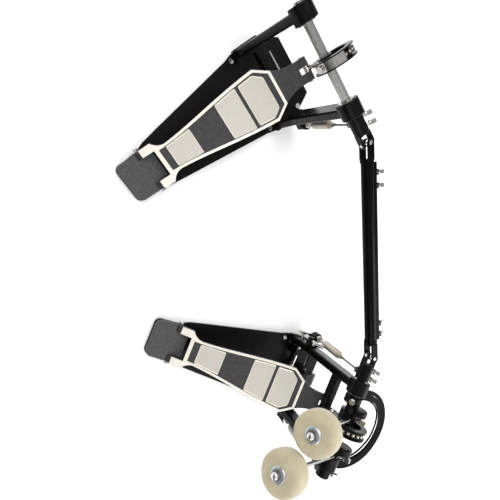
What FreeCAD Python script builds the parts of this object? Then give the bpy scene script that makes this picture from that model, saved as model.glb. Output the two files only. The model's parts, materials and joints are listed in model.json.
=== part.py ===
import FreeCAD, Part
import math
import os

V = FreeCAD.Vector

# ------------------------------------------------ driving dimensions (mm, degrees)
# Each pedal is drawn in its own frame: X along its axle, Y from heel to toe, Z up, floor at z = 0.
FOOT_H = 2.0            # rubber foot height, and the underside of the base plate
PLATE_TOP = 6.0
HEEL_TOP = 17.0
HINGE_Y = 24.0          # heel hinge axis
HINGE_Z = 12.5
HINGE_PIN_R = 2.5
FIT = 0.06              # radial clearance of a running pin or journal
BOARD_ANGLE = 26.0      # footboard's rise at rest
BOARD_TOP = 10.1        # rim's top above the hinge axis, square to the board
RIM_T = 0.9             # raised bright rim
RIM_W = 4.2
BOARD_T = 5.0           # footboard casting below the rim
EAR_IN = 21.5           # half widths of the footboard
EAR_OUT = 34.2
WAIST = 22.5
HIP = 40.9
RIM_END = 25.7
TIP = 17.0
EAR_U = 6.0             # distances along the board from the hinge
HEEL_U = 27.0
WINDOW_U = 33.7
WAIST_U = 47.0
HIP_U = 213.2
RIM_END_U = 235.2
TIP_U = 286.0
TOE_PIN_Y = 272.0       # toe pin, where the chain is held
AXLE_Y = 262.7          # beater axle
AXLE_Z = 210.1
JOURNAL_R = 6.5
BUSH_OUT_R = 10.0
HEX_FLATS = 11.0
PILOT_R = 3.0           # the main axle's end runs in the left beater's axle
BEARING_IN = 54.5       # bearing housing, from its inner to its outer end
BEARING_OUT = 77.5
BEARING_R = 16.0
CAM_AHEAD = 9.0         # the cam wheel's middle, ahead of and above the axle
CAM_ABOVE = 3.0
CHAIN_R = 25.0          # pitch radius of the chain on the cam
CHAIN_PITCH = 8.0
LINK_T = 4.0            # a link's height, square to its length
LINK_W = 6.0
CAM_HALF = 6.0
RUN_GAP = 0.4           # clear space between neighbouring solids of the chain
RUN_TOP_GAP = 1.6       # the straight run ends this far short of the cam
UJOINT_X = 118.0        # universal joint's centre from the pedal's middle
YOKE_GAP = 7.5          # inside of a yoke's ears from the joint's centre
YOKE_EAR = 3.0
CROSS_PIN_R = 2.4
CROSS_BALL_R = 6.0
COUPLER_R = 11.0
COUPLER_IN = 79.5
COUPLER_OUT = 104.0
ROCKER_R = 16.0         # spring hook's radius about the axle
ROCKER_X = 88.0
ANCHOR_Y = 282.0        # spring's lower anchor
ANCHOR_Z = 52.0
SPRING_R = 6.0
WIRE_R = 1.1
SHAFT_TUBE_R = 8.8
SHAFT_ROD_R = 5.0
RAIL_OUT = 13.0         # the rail's outer face, from the drive shaft's middle
SLAVE_AT = V(-239.7, -133.6, 0)
SLAVE_TURN = 58.56
BEATER_ROD_R = 3.0
FELT_R = 30.5
FELT_T = 31.0
ROD_ASIDE = 11.0        # the rods pass this far above the axle
# each beater: place on the axle, reach from its hub to the felt's middle, lean back, tail behind the
# hub, half width of its hub
LEFT_BEATER = (-20.0, 138.6, 59.6, 36.5, 8.0)
RIGHT_BEATER = (42.0, 153.6, 65.3, 21.5, 5.0)
OUTER_IN = 6.0          # the main pedal's outer post stands this much nearer its middle
CLAMP_Y = 292.0         # hoop clamp's pivot
CLAMP_Z = 34.0
HOOP_TOP = 22.0         # underside of the clamp's pad
SCREW_Y = 266.0         # hoop clamp's hand screw
SCREW_Z = 24.0
BRIDGE_Z = 150.0        # underside of the bridge between the main pedal's posts
KEY_X = -84.0           # tuning key in its clip, beside the inner post
KEY_Y = 256.0

SIN_B = math.sin(math.radians(BOARD_ANGLE))
COS_B = math.cos(math.radians(BOARD_ANGLE))
FIELD = BOARD_TOP - RIM_T               # sunk field between rim and pads
TOE_PIN_N = FIELD - BOARD_T / 2
TOE_PIN_U = (TOE_PIN_Y - HINGE_Y + TOE_PIN_N * SIN_B) / COS_B
TOE_PIN_Z = HINGE_Z + TOE_PIN_U * SIN_B + TOE_PIN_N * COS_B
CAM_Y = AXLE_Y + CAM_AHEAD
CAM_Z = AXLE_Z + CAM_ABOVE
TOE_PIN_R = 1.6

parts = {}


# ------------------------------------------------ helpers
def box(x0, x1, y0, y1, z0, z1):
    return Part.makeBox(x1 - x0, y1 - y0, z1 - z0, V(x0, y0, z0))


def rod(start, end, radius):
    run = end - start
    return Part.makeCylinder(radius, run.Length, start, run)


def along_x(x0, x1, y, z, radius):
    low, high = min(x0, x1), max(x0, x1)
    return Part.makeCylinder(radius, high - low, V(low, y, z), V(1, 0, 0))


def on_axle(x0, x1, radius):
    return along_x(x0, x1, AXLE_Y, AXLE_Z, radius)


def prism(points, direction):
    return Part.Face(Part.makePolygon(points + [points[0]])).extrude(direction)


def side_prism(x0, x1, profile):
    """A (y, z) outline drawn out along X."""
    return prism([V(x0, y, z) for y, z in profile], V(x1 - x0, 0, 0))


def flat_prism(z0, z1, outline):
    """An (x, y) outline drawn out along Z."""
    return prism([V(x, y, z0) for x, y in outline], V(0, 0, z1 - z0))


def mirrored(outline):
    """The right half of an (x, y) outline, closed by its mirror image."""
    return outline + [(-x, y) for x, y in reversed(outline)]


def regular_bar(start, end, flats, sides):
    """A bar of regular section from start to end."""
    run = end - start
    d = V(run).normalize()
    side = V(0, 0, 1) if abs(d.z) < 0.9 else V(1, 0, 0)
    u = d.cross(side).normalize()
    w = d.cross(u)
    corner = flats / 2 / math.cos(math.pi / sides)
    points = []
    for i in range(sides):
        a = 2 * math.pi * (i + 0.5) / sides
        points.append(start + (u * math.cos(a) + w * math.sin(a)) * corner)
    return prism(points, run)


def key_bolt(base, direction):
    """A square-headed key bolt that stands out of a collar: shank, washer face and head."""
    d = V(direction).normalize()
    shank = rod(base, base + d * 4, 2.4)
    face = rod(base + d * 4, base + d * 6, 4.5)
    head = regular_bar(base + d * 6, base + d * 14, 6.0, 4)
    return shank.fuse([face, head])


def rounded(shape, radius, choose):
    edges = [e for e in shape.Edges if choose(e.CenterOfMass, e)]
    return shape.makeFillet(radius, edges)


def upright(edge):
    a, b = edge.Vertexes[0].Point, edge.Vertexes[-1].Point
    return abs(a.x - b.x) < 0.01 and abs(a.y - b.y) < 0.01 and abs(a.z - b.z) > 1


def on_board(shape):
    """From the board's frame (x, along, square to the board) to the pedal's frame."""
    moved = shape.copy()
    moved.rotate(V(0, 0, 0), V(1, 0, 0), BOARD_ANGLE)
    moved.translate(V(0, HINGE_Y, HINGE_Z))
    return moved


def keep(name, shape, slave=False):
    moved = shape.removeSplitter() if len(shape.Solids) == 1 else shape.copy()
    if slave:
        moved.rotate(V(0, 0, 0), V(0, 0, 1), SLAVE_TURN)
        moved.translate(SLAVE_AT)
    parts[name] = moved


def group(shapes):
    return Part.makeCompound([solid for shape in shapes for solid in shape.Solids])


# ------------------------------------------------ base, heel plate and feet
def base_plate():
    half = [(33, -20), (33, 22), (40, 42), (44, 67), (68, 230), (72, 244), (70, 300), (52, 336)]
    plate = flat_prism(FOOT_H, PLATE_TOP, mirrored(half))
    plate = rounded(plate, 10, lambda p, e: upright(e) and p.y < 0)
    slit = box(-42, 42, 308, 313, 0, 10)
    return rounded(plate, 4, lambda p, e: upright(e) and p.y > 20).cut(slit)


def heel_plate():
    """Heel block with a tongue that runs between the footboard's ears, over the hinge pin."""
    block = flat_prism(PLATE_TOP, HEEL_TOP, mirrored([(32, -19), (34.5, 18.3)]))
    block = rounded(block, 11, lambda p, e: upright(e) and p.y < 0)
    tongue = box(-20.8, 20.8, 14, 43.5, PLATE_TOP, HEEL_TOP)
    plate = block.fuse(tongue).removeSplitter()
    plate = rounded(plate, 1.5, lambda p, e: p.z > HEEL_TOP - 0.01 and p.y < 14)
    return plate.cut(along_x(-30, 30, HINGE_Y, HINGE_Z, HINGE_PIN_R))


def hinge_pin():
    pin = along_x(-36.5, 36.5, HINGE_Y, HINGE_Z, HINGE_PIN_R)
    heads = [along_x(s * 36.5, s * 38.5, HINGE_Y, HINGE_Z, 4.0) for s in (-1, 1)]
    return pin.fuse(heads)


def feet():
    spots = [(22, -8), (50, 180), (58, 285)]
    pads = []
    for x, y in spots:
        for side in (-1, 1):
            pads.append(rod(V(side * x, y, 0), V(side * x, y, FOOT_H), 9))
    return group(pads)


def base_bolts():
    spots = [(63, 239), (61, 306)]
    bolts = []
    for x, y in spots:
        for side in (-1, 1):
            seat = V(side * x, y, PLATE_TOP)
            head = rod(seat, seat + V(0, 0, 2.2), 4.2)
            socket = regular_bar(seat + V(0, 0, 0.8), seat + V(0, 0, 3), 3.4, 6)
            bolts.append(head.cut(socket))
    return group(bolts)


# ------------------------------------------------ frame
def spring_line():
    """The lower anchor of a spring and the unit vector up to its hook, on the +X side."""
    hook = V(ROCKER_X, AXLE_Y, AXLE_Z - ROCKER_R)
    anchor = V(ROCKER_X, ANCHOR_Y, ANCHOR_Z)
    run = hook - anchor
    return anchor, V(run).normalize(), run.Length


def post():
    """The +X post: foot, column that leans back to the axle, and bearing housing."""
    foot = box(54, 75, 246, 299, PLATE_TOP, PLATE_TOP + 7)
    foot = rounded(foot, 4, lambda p, e: upright(e))
    column = side_prism(60, 73, [(250, 12), (297, 12), (284, 62), (276, 205), (250, 205), (254, 62)])
    column = rounded(column, 2.5, lambda p, e: p.z > 20 and p.z < 195 and abs(p.x - 66.5) > 6)
    housing = on_axle(BEARING_IN, BEARING_OUT, BEARING_R)
    housing = rounded(housing, 1.5, lambda p, e: abs(p.x - 66) > 11)
    return foot.fuse([column, housing])


def spring_bracket():
    anchor, up, _ = spring_line()
    arm = side_prism(70, 90, [(272, 32), (290, 32), (289, 47), (272, 47)])
    eye = rod(anchor - up * 18, anchor - up * 4, 8.5)
    hole = rod(anchor - up * 30, anchor + up * 10, 3.0)
    return arm.fuse(eye).cut(hole)


def bearing_bore(side):
    return on_axle(side * (BEARING_IN - 2), side * (BEARING_OUT + 2), BUSH_OUT_R)


def flip(shape):
    return shape.mirror(V(0, 0, 0), V(1, 0, 0))


def nearer(shape):
    """A +X piece in its place on the main pedal's outer side."""
    moved = shape.copy()
    moved.translate(V(-OUTER_IN, 0, 0))
    return moved


def main_frame():
    """Two posts joined by a bridge; the inner one has the key's clip and lets the hand screw through."""
    inner = flip(post().fuse(spring_bracket()))
    outer = nearer(post().fuse(spring_bracket()))
    bridge = box(-62, 62 - OUTER_IN, AXLE_Y - 7, AXLE_Y + 7, BRIDGE_Z, BRIDGE_Z + 16)
    bridge = rounded(bridge, 3, lambda p, e: abs(p.x + OUTER_IN / 2) < 1)
    clip = box(KEY_X - 6, -70, KEY_Y - 6, KEY_Y + 6, 62, 68)
    whole = inner.fuse([outer, bridge, clip])
    passage = along_x(-80, -50, SCREW_Y, SCREW_Z, 4.8)
    key_hole = rod(V(KEY_X, KEY_Y, 50), V(KEY_X, KEY_Y, 80), 3.0 + FIT)
    return whole.cut([bearing_bore(-1), nearer(bearing_bore(1)), passage, key_hole])


def slave_frame():
    right = post().fuse(spring_bracket())
    left = flip(post())
    tie = box(-62, 62, 283, 293, PLATE_TOP, PLATE_TOP + 7)
    return group([right.fuse([left, tie]).cut([bearing_bore(-1), bearing_bore(1)])])


def bush(side):
    sleeve = on_axle(side * BEARING_IN, side * BEARING_OUT, BUSH_OUT_R)
    flange = on_axle(side * (BEARING_IN - 1.2), side * BEARING_IN, BUSH_OUT_R + 2)
    return sleeve.fuse(flange).cut(on_axle(side * 40, side * 90, JOURNAL_R + FIT))


# ------------------------------------------------ footboard
def flare_curve(inset, first_u):
    """The footboard's side from its waist to its widest point, moved in by inset."""
    line = [(WAIST, first_u), (WAIST + 4.3, 91), (WAIST + 11.3, 142), (HIP - 2.7, 179), (HIP, HIP_U)]
    curve = Part.BSplineCurve()
    curve.interpolate([V(x - inset, u, 0) for x, u in line])
    return curve.toShape()


def half_edges(last):
    """Edges of the footboard's +X half, in the board's frame at height 0."""
    shoulder = V(EAR_OUT + 0.3, HEEL_U, 0)
    waist = V(WAIST, WAIST_U, 0)
    edges = [
        Part.makeLine(V(0, HEEL_U, 0), V(EAR_IN, HEEL_U, 0)),
        Part.makeLine(V(EAR_IN, HEEL_U, 0), V(EAR_IN, EAR_U, 0)),
        Part.makeLine(V(EAR_IN, EAR_U, 0), V(EAR_OUT, EAR_U, 0)),
        Part.makeLine(V(EAR_OUT, EAR_U, 0), shoulder),
        Part.Arc(shoulder, V(EAR_OUT - 8, HEEL_U + 8, 0), waist).toShape(),
        flare_curve(0, WAIST_U),
        Part.makeLine(V(HIP, HIP_U, 0), V(RIM_END, RIM_END_U, 0)),
    ]
    if last == "rim":
        edges.append(Part.makeLine(V(RIM_END, RIM_END_U, 0), V(0, RIM_END_U, 0)))
    else:
        toe = Part.Arc(V(RIM_END, RIM_END_U, 0), V(TIP + 2, RIM_END_U + 15, 0), V(TIP, TIP_U - 22, 0))
        edges.append(toe.toShape())
        edges.append(Part.makeLine(V(TIP, TIP_U - 22, 0), V(TIP, TIP_U, 0)))
        edges.append(Part.makeLine(V(TIP, TIP_U, 0), V(0, TIP_U, 0)))
    return edges


def window_edges():
    """The +X half of the field inside the bright rim."""
    corner = V(HIP - RIM_W, HIP_U, 0)
    end = V(RIM_END - 1.5, RIM_END_U - RIM_W, 0)
    return [
        Part.makeLine(V(0, WINDOW_U, 0), V(WAIST - RIM_W, WINDOW_U, 0)),
        flare_curve(RIM_W, WINDOW_U),
        Part.makeLine(corner, end),
        Part.makeLine(end, V(0, end.y, 0)),
    ]


def whole_face(right):
    left = [edge.mirror(V(0, 0, 0), V(1, 0, 0)) for edge in right]
    ordered = Part.__sortEdges__(right + left)
    return Part.Face(Part.Wire(ordered))


def slab(face, low, high):
    lifted = face.copy()
    lifted.translate(V(0, 0, low))
    return lifted.extrude(V(0, 0, high - low))


def footboard():
    plate = slab(whole_face(half_edges("toe")), FIELD - BOARD_T, FIELD)
    under = FIELD - BOARD_T
    lug_profile = [(-4.8, -1), (-3.2, 4), (EAR_U, FIELD), (HEEL_U, FIELD), (HEEL_U, under), (4.8, -1)]
    pieces = []
    for side in (-1, 1):
        x0, x1 = sorted((side * EAR_IN, side * EAR_OUT))
        pieces.append(side_prism(x0, x1, lug_profile))
        pieces.append(along_x(x0, x1, 0, 0, 5.0))
        r0, r1 = sorted((side * 11, side * 15))
        pieces.append(side_prism(r0, r1, [(30, 0), (36, -5), (200, -5), (268, 1), (268, 5), (30, 5)]))
    cross_ribs = [box(-13, 13, u, u + 3, -3, 5) for u in (60, 120, 180, 240)]
    board = plate.fuse(pieces + cross_ribs)
    half = LINK_W / 2 + 1.5
    slot = box(-half, half, TOE_PIN_U - 8, TOE_PIN_U + 3.9, -10, 20)
    lip = box(-half, half, TOE_PIN_U, TIP_U + 5, FIELD - 2, 20)
    pin = along_x(-30, 30, TOE_PIN_U, TOE_PIN_N, TOE_PIN_R)
    hinge = along_x(-50, 50, 0, 0, HINGE_PIN_R + FIT)
    return on_board(board.cut([slot, lip, pin, hinge]))


def footboard_rim():
    ring = slab(whole_face(half_edges("rim")), FIELD, BOARD_TOP)
    window = slab(whole_face(window_edges()), FIELD - 1, BOARD_TOP + 1)
    return on_board(ring.cut(window))


def traction_pads():
    top = BOARD_TOP + 0.3
    outlines = [
        [(17, 46.5), (20.3, 91.2)],
        [(27.9, 142.2), (32.6, 179.2)],
        [(32, 185.2), (33.9, 209.2), (23.9, 222.2)],
    ]
    return on_board(group([flat_prism(FIELD, top, mirrored(half)) for half in outlines]))


def toe_pin():
    pin = along_x(-TIP, TIP, TOE_PIN_U, TOE_PIN_N, TOE_PIN_R)
    heads = [along_x(s * TIP, s * (TIP + 1.5), TOE_PIN_U, TOE_PIN_N, 3.0) for s in (-1, 1)]
    return on_board(pin.fuse(heads))


# ------------------------------------------------ chain and cam
def rim_point(angle, radius):
    """A point at an angle on the cam wheel, from its middle."""
    a = math.radians(angle)
    return V(0, CAM_Y + radius * math.cos(a), CAM_Z + radius * math.sin(a))


def leave_angle():
    """Where the chain's straight fall leaves the cam."""
    ahead, below = TOE_PIN_Y - CAM_Y, TOE_PIN_Z - CAM_Z
    distance = math.hypot(ahead, below)
    return math.degrees(math.atan2(below, ahead) + math.acos(CHAIN_R / distance))


LEAVE = leave_angle()
MAIN_WRAP = 12                          # links that lie on each pedal's cam
SLAVE_WRAP = 6
WRAP_STEP = math.degrees(CHAIN_PITCH / CHAIN_R)
WRAP_END = LEAVE + WRAP_STEP * SLAVE_WRAP


def link(start, end):
    """One link between two pins, trimmed so that it stands clear of the next."""
    d = V(end - start).normalize()
    up = V(1, 0, 0).cross(d)
    half = LINK_T / 2
    left = V(-LINK_W / 2, 0, 0)
    a, b = start + d * (RUN_GAP / 2 + half), end - d * (RUN_GAP / 2 + half)
    corners = [a + up * half + left, b + up * half + left, b - up * half + left, a - up * half + left]
    bar = prism(corners, V(LINK_W, 0, 0))
    return bar.fuse([rod(p + left, p - left, half) for p in (a, b)])


def chain_run():
    """The straight fall of chain from the cam to the eye on the toe pin."""
    low = V(0, TOE_PIN_Y, TOE_PIN_Z)
    run = rim_point(LEAVE, CHAIN_R) - low
    run = run * (1 - RUN_TOP_GAP / run.Length)
    count = round(run.Length / CHAIN_PITCH)
    step = run * (1.0 / count)
    links = [link(low + step * i, low + step * (i + 1)) for i in range(count)]
    eye = along_x(-LINK_W / 2, LINK_W / 2, TOE_PIN_Y, TOE_PIN_Z, 3.4)
    core = rod(low + step * 0.3, low + step * (count - 0.3), 1.3)
    hole = along_x(-9, 9, TOE_PIN_Y, TOE_PIN_Z, TOE_PIN_R + FIT)
    return links[0].fuse(links[1:] + [eye, core]).cut(hole)


def chain_wrap(count):
    """The links that lie on the cam, each its own solid."""
    links = []
    for i in range(count):
        a = rim_point(LEAVE + WRAP_STEP * i, CHAIN_R)
        b = rim_point(LEAVE + WRAP_STEP * (i + 1), CHAIN_R)
        links.append(link(a, b))
    return group(links)


CAM_SEAT = CHAIN_R * math.cos(math.radians(WRAP_STEP / 2)) - LINK_T / 2   # the links lie on this radius
CAM_BORE = 19.5
CAM_FLANGE_R = 29.0
CAM_FLANGE_T = 1.6


def wheel(x0, x1, radius):
    return along_x(x0, x1, CAM_Y, CAM_Z, radius)


def cam():
    """Eccentric open wheel: rim, two flanges, a web with one round hole, and a hub on the axle."""
    rim = wheel(-CAM_HALF, CAM_HALF, CAM_SEAT)
    flanges = [wheel(s * CAM_HALF, s * (CAM_HALF + CAM_FLANGE_T), CAM_FLANGE_R) for s in (-1, 1)]
    ring = rim.fuse(flanges).cut(wheel(-20, 20, CAM_BORE))
    web = wheel(-2.2, 2.2, CAM_BORE + 0.5)
    hole = rim_point(15, 10.0)
    web = web.cut(along_x(-9, 9, hole.y, hole.z, 9.2))
    hub = on_axle(-9, 9, 9.5)
    return ring.fuse([web, hub]).cut(hex_axle(-20, 20))


def cam_band():
    """Bright cover over the part of the slave pedal's wheel that carries no chain, with its screw."""
    ring = Part.makeCylinder(CAM_FLANGE_R - 0.8, 2 * CAM_HALF, V(0, 0, 0), V(0, 0, 1), 92)
    ring = ring.cut(Part.makeCylinder(CAM_SEAT, 2 * CAM_HALF, V(0, 0, 0), V(0, 0, 1)))
    ring.rotate(V(0, 0, 0), V(0, 0, 1), WRAP_END + 6)
    ring.rotate(V(0, 0, 0), V(1, 1, 1), 120)
    ring.translate(V(-CAM_HALF, CAM_Y, CAM_Z))
    at = WRAP_END + 78
    screw = rod(rim_point(at, CAM_FLANGE_R - 2), rim_point(at, CAM_FLANGE_R + 2.4), 4.6)
    return ring.fuse(screw)


# ------------------------------------------------ axles, hubs, couplers, rockers
def hex_axle(x0, x1):
    return regular_bar(V(x0, AXLE_Y, AXLE_Z), V(x1, AXLE_Y, AXLE_Z), HEX_FLATS, 6)


def main_axle():
    pilot = on_axle(-22, -8, PILOT_R)
    collar = on_axle(-10.5, -9, 8.0)
    middle = hex_axle(-9.2, 54 - OUTER_IN)
    journal = nearer(on_axle(53.5, 90, JOURNAL_R))
    return pilot.fuse([collar, middle, journal])


def aux_axle():
    """The left beater's axle: a stop collar with a set screw, and a bore for the main axle's pilot."""
    shaft = on_axle(-COUPLER_OUT + 3, -11, JOURNAL_R)
    collar = on_axle(-52, -38.5, 13.5)
    collar = rounded(collar, 1.5, lambda p, e: abs(p.x + 45) > 6)
    return shaft.fuse(collar).cut([on_axle(-23, 0, PILOT_R + FIT), stop_screw()])


def stop_screw():
    """Key bolt of the stop collar beside the main pedal's inner bearing."""
    return key_bolt(V(-45, AXLE_Y - 8.5, AXLE_Z + 8.5), V(0, -1, 1))


def slave_axle():
    left = on_axle(-80, -51.5, JOURNAL_R)
    right = on_axle(51.5, COUPLER_OUT - 3, JOURNAL_R)
    return left.fuse([hex_axle(-54, 54), right])


def beater_line(beater):
    """The rod's middle in its hub and the unit vector along the rod to the felt."""
    x, _, lean, _, _ = beater
    a = math.radians(lean)
    centre = V(x, AXLE_Y + ROD_ASIDE * math.cos(a), AXLE_Z + ROD_ASIDE * math.sin(a))
    return centre, V(0, -math.sin(a), math.cos(a))


def beater_hub(beater, axle):
    centre, out = beater_line(beater)
    half = beater[4]
    left = centre.x - half
    barrel = on_axle(left, centre.x + half, 12.0)
    neck = rod(centre - out * 12, centre + out * 14, min(half, 7.0))
    foot = V(left, AXLE_Y, AXLE_Z)
    top = V(left, centre.y, centre.z)
    saddle = prism([foot - out * 11, foot + out * 11, top + out * 9, top - out * 9], V(2 * half, 0, 0))
    hub = barrel.fuse([neck, saddle]).cut(axle)
    passage = rod(centre - out * 40, centre + out * 40, BEATER_ROD_R + FIT)
    return hub.cut([passage, hub_bolt(beater)])


RIGHT_LOBE = (25, 37.5)     # the two lobes, from end to end along the axle
LEFT_LOBE = (-37.5, -27)
LOBE_R = 15
LOBE_FORWARD = 5            # the lobe's centre stands off the axle's centre
LOBE_UP = 13


def hub_lobe(ends, axle):
    """Rounded stop lobe beside a beater's hub."""
    lobe = along_x(ends[0], ends[1], AXLE_Y + LOBE_FORWARD, AXLE_Z + LOBE_UP, LOBE_R)
    return rounded(lobe, 2, lambda p, e: len(e.Vertexes) == 1).cut(axle)


def hub_bolt(beater):
    """Key bolt that clamps the rod, on top of the hub."""
    centre, out = beater_line(beater)
    over = V(1, 0, 0).cross(out) * -1
    return key_bolt(centre + over * 6 - out * 2, over)


def beater_rod(beater):
    _, reach, _, tail, _ = beater
    centre, out = beater_line(beater)
    shaft = rod(centre - out * tail, centre + out * (reach + FELT_T / 2 + 9), BEATER_ROD_R)
    washer = rod(centre + out * (reach + FELT_T / 2), centre + out * (reach + FELT_T / 2 + 2), 9.0)
    nut = regular_bar(centre + out * (reach + FELT_T / 2 + 2), centre + out * (reach + FELT_T / 2 + 7), 11, 6)
    seat = rod(centre + out * (reach - FELT_T / 2 - 3), centre + out * (reach - FELT_T / 2), 8.0)
    return shaft.fuse([washer, nut, seat])


def beater_felt(beater):
    _, reach, _, _, _ = beater
    centre, out = beater_line(beater)
    low = centre + out * (reach - FELT_T / 2)
    high = centre + out * (reach + FELT_T / 2)
    felt = rod(low, high, FELT_R)
    rims = [e for e in felt.Edges if len(e.Vertexes) == 1 and isinstance(e.Curve, Part.Circle)]
    return felt.makeFillet(9.0, rims).cut(rod(low, high, BEATER_ROD_R))


def coupler():
    """The +X coupler: a split collar on the axle that ends in a yoke of two upright-facing ears."""
    collar = on_axle(COUPLER_IN, COUPLER_OUT, COUPLER_R)
    reach = YOKE_GAP + YOKE_EAR
    cheek = box(COUPLER_OUT - 1, COUPLER_OUT + 2.5, AXLE_Y - reach, AXLE_Y + reach, AXLE_Z - 5, AXLE_Z + 5)
    ears = []
    for side in (-1, 1):
        y0, y1 = sorted((AXLE_Y + side * YOKE_GAP, AXLE_Y + side * reach))
        arm = box(COUPLER_OUT, UJOINT_X, y0, y1, AXLE_Z - 5, AXLE_Z + 5)
        end = rod(V(UJOINT_X, y0, AXLE_Z), V(UJOINT_X, y1, AXLE_Z), 5.0)
        ears.append(arm.fuse(end))
    whole = collar.fuse([cheek] + ears)
    pin = rod(V(UJOINT_X, AXLE_Y - 20, AXLE_Z), V(UJOINT_X, AXLE_Y + 20, AXLE_Z), CROSS_PIN_R + FIT)
    bore = on_axle(COUPLER_IN - 5, COUPLER_OUT - 3, JOURNAL_R)
    slit = box(COUPLER_IN - 1, COUPLER_OUT - 3, AXLE_Y, AXLE_Y + 30, AXLE_Z + 2.2, AXLE_Z + 3.4)
    return whole.cut([pin, bore, slit] + coupler_bolts())


def end_collar():
    """The collar on the main axle's free end, beside the outer bearing."""
    collar = on_axle(COUPLER_IN, 92, COUPLER_R)
    collar = rounded(collar, 1.2, lambda p, e: p.x > 91)
    return collar.cut([on_axle(COUPLER_IN - 5, 90, JOURNAL_R), end_bolt()])


def end_bolt():
    return key_bolt(V(86, AXLE_Y + COUPLER_R - 1.5, AXLE_Z + 3), V(0, 1, 0.35))


def rocker(under):
    """Clevis under a collar that holds the spring's hook."""
    z = AXLE_Z - ROCKER_R
    cheeks = []
    for side in (-1, 1):
        x0, x1 = sorted((ROCKER_X + side * 1.5, ROCKER_X + side * 3.5))
        cheek = box(x0, x1, AXLE_Y - 4.5, AXLE_Y + 4.5, z, AXLE_Z - 5)
        end = along_x(x0, x1, AXLE_Y, z, 4.5)
        cheeks.append(cheek.fuse(end))
    crown = box(ROCKER_X - 3.5, ROCKER_X + 3.5, AXLE_Y - 4.5, AXLE_Y + 4.5, AXLE_Z - 11.4, AXLE_Z - 5)
    pin = along_x(ROCKER_X - 5, ROCKER_X + 5, AXLE_Y, z, 2.0)
    return cheeks[0].fuse([cheeks[1], crown, pin]).cut(under)


def coupler_bolts():
    """Two key bolts on the front of a coupler."""
    spots = [83.5, 97.0]
    return [key_bolt(V(x, AXLE_Y + COUPLER_R - 1.5, AXLE_Z + 3), V(0, 1, 0.35)) for x in spots]


def cross():
    """A universal joint's cross in the pedal's frame, on the +X side."""
    centre = V(UJOINT_X, AXLE_Y, AXLE_Z)
    reach = YOKE_GAP + YOKE_EAR
    ball = Part.makeSphere(CROSS_BALL_R, centre)
    flat = rod(centre - V(0, reach, 0), centre + V(0, reach, 0), CROSS_PIN_R)
    stub = rod(centre - V(0, 0, reach - 0.6), centre + V(0, 0, reach - 0.6), CROSS_PIN_R)
    return ball.fuse([flat, stub])


# ------------------------------------------------ springs
def spring():
    anchor, up, length = spring_line()
    eye_low = anchor + up * 14
    eye_high = anchor + up * length
    coil_low = anchor + up * 22
    coil_high = anchor + up * 86
    coil = rod(coil_low, coil_high, SPRING_R).cut(rod(coil_low - up, coil_high + up, SPRING_R - 2.2))
    plugs = [rod(coil_low, coil_low + up * 2, SPRING_R), rod(coil_high - up * 2, coil_high, SPRING_R)]
    low_ring = Part.makeTorus(4.0, WIRE_R, eye_low, V(1, 0, 0))
    high_ring = Part.makeTorus(3.5, WIRE_R, eye_high, V(1, 0, 0))
    low_stem = rod(eye_low + up * 4, coil_low + up, WIRE_R)
    high_stem = rod(coil_high - up, eye_high - up * 3.5, WIRE_R)
    return coil.fuse(plugs + [low_stem, high_stem, low_ring, high_ring])


def spring_adjuster():
    """Threaded rod, lock nut under the bracket, swivel nut above it and a tab with an eye."""
    anchor, up, _ = spring_line()
    thread = rod(anchor - up * 31, anchor + up * 5.5, 3.0)
    lock = regular_bar(anchor - up * 27, anchor - up * 22.5, 10, 6)
    swivel = rod(anchor - up * 4, anchor + up * 5, 6.0)
    across = V(1, 0, 0)
    front = across.cross(up)
    low = anchor + up * 4.5 - across * 4 - front * 1.2
    corners = [low, low + across * 8, low + across * 8 + up * 8.6, low + up * 8.6]
    tab = prism(corners, front * 2.4)
    eye_at = anchor + up * 10
    eye = rod(eye_at - front * 5, eye_at + front * 5, 1.9)
    return thread.fuse([lock, swivel, tab]).cut(eye)


# ------------------------------------------------ drive shaft between the pedals
def slave_point(point):
    a = math.radians(SLAVE_TURN)
    return V(point.x * math.cos(a) - point.y * math.sin(a), point.x * math.sin(a) + point.y * math.cos(a),
             point.z) + SLAVE_AT


JOINT_MAIN = V(-UJOINT_X, AXLE_Y, AXLE_Z)
JOINT_SLAVE = slave_point(V(UJOINT_X, AXLE_Y, AXLE_Z))
SHAFT_RUN = JOINT_MAIN - JOINT_SLAVE
SHAFT_LENGTH = SHAFT_RUN.Length
SHAFT_DIR = V(SHAFT_RUN).normalize()
YOKE_HUB = 22.0         # a shaft yoke's hub, from its joint's centre
YOKE_END = 28.0
TUBE_END = SHAFT_LENGTH - YOKE_END - 0.5


def shaft_yoke(centre, d):
    """A yoke whose ears stand above and below the joint's centre; d runs into the shaft."""
    side = V(0, 0, 1).cross(d)
    reach = YOKE_GAP + YOKE_EAR
    hub = rod(centre + d * YOKE_HUB, centre + d * YOKE_END, COUPLER_R - 1)
    pieces = []
    for s in (-1, 1):
        base = centre + side * -5 + V(0, 0, s * YOKE_GAP)
        far = base + d * (YOKE_HUB + 2)
        arm = prism([base, far, far + side * 10, base + side * 10], V(0, 0, s * YOKE_EAR))
        end = rod(centre + V(0, 0, s * YOKE_GAP), centre + V(0, 0, s * reach), 5.0)
        pieces += [arm, end]
    hole = rod(centre - V(0, 0, 20), centre + V(0, 0, 20), CROSS_PIN_R + 1.2)
    return hub.fuse(pieces).cut(hole)


def shaft_side():
    """Level and square to the drive shaft, on the side of its rail."""
    return V(0, 0, 1).cross(SHAFT_DIR)


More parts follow.
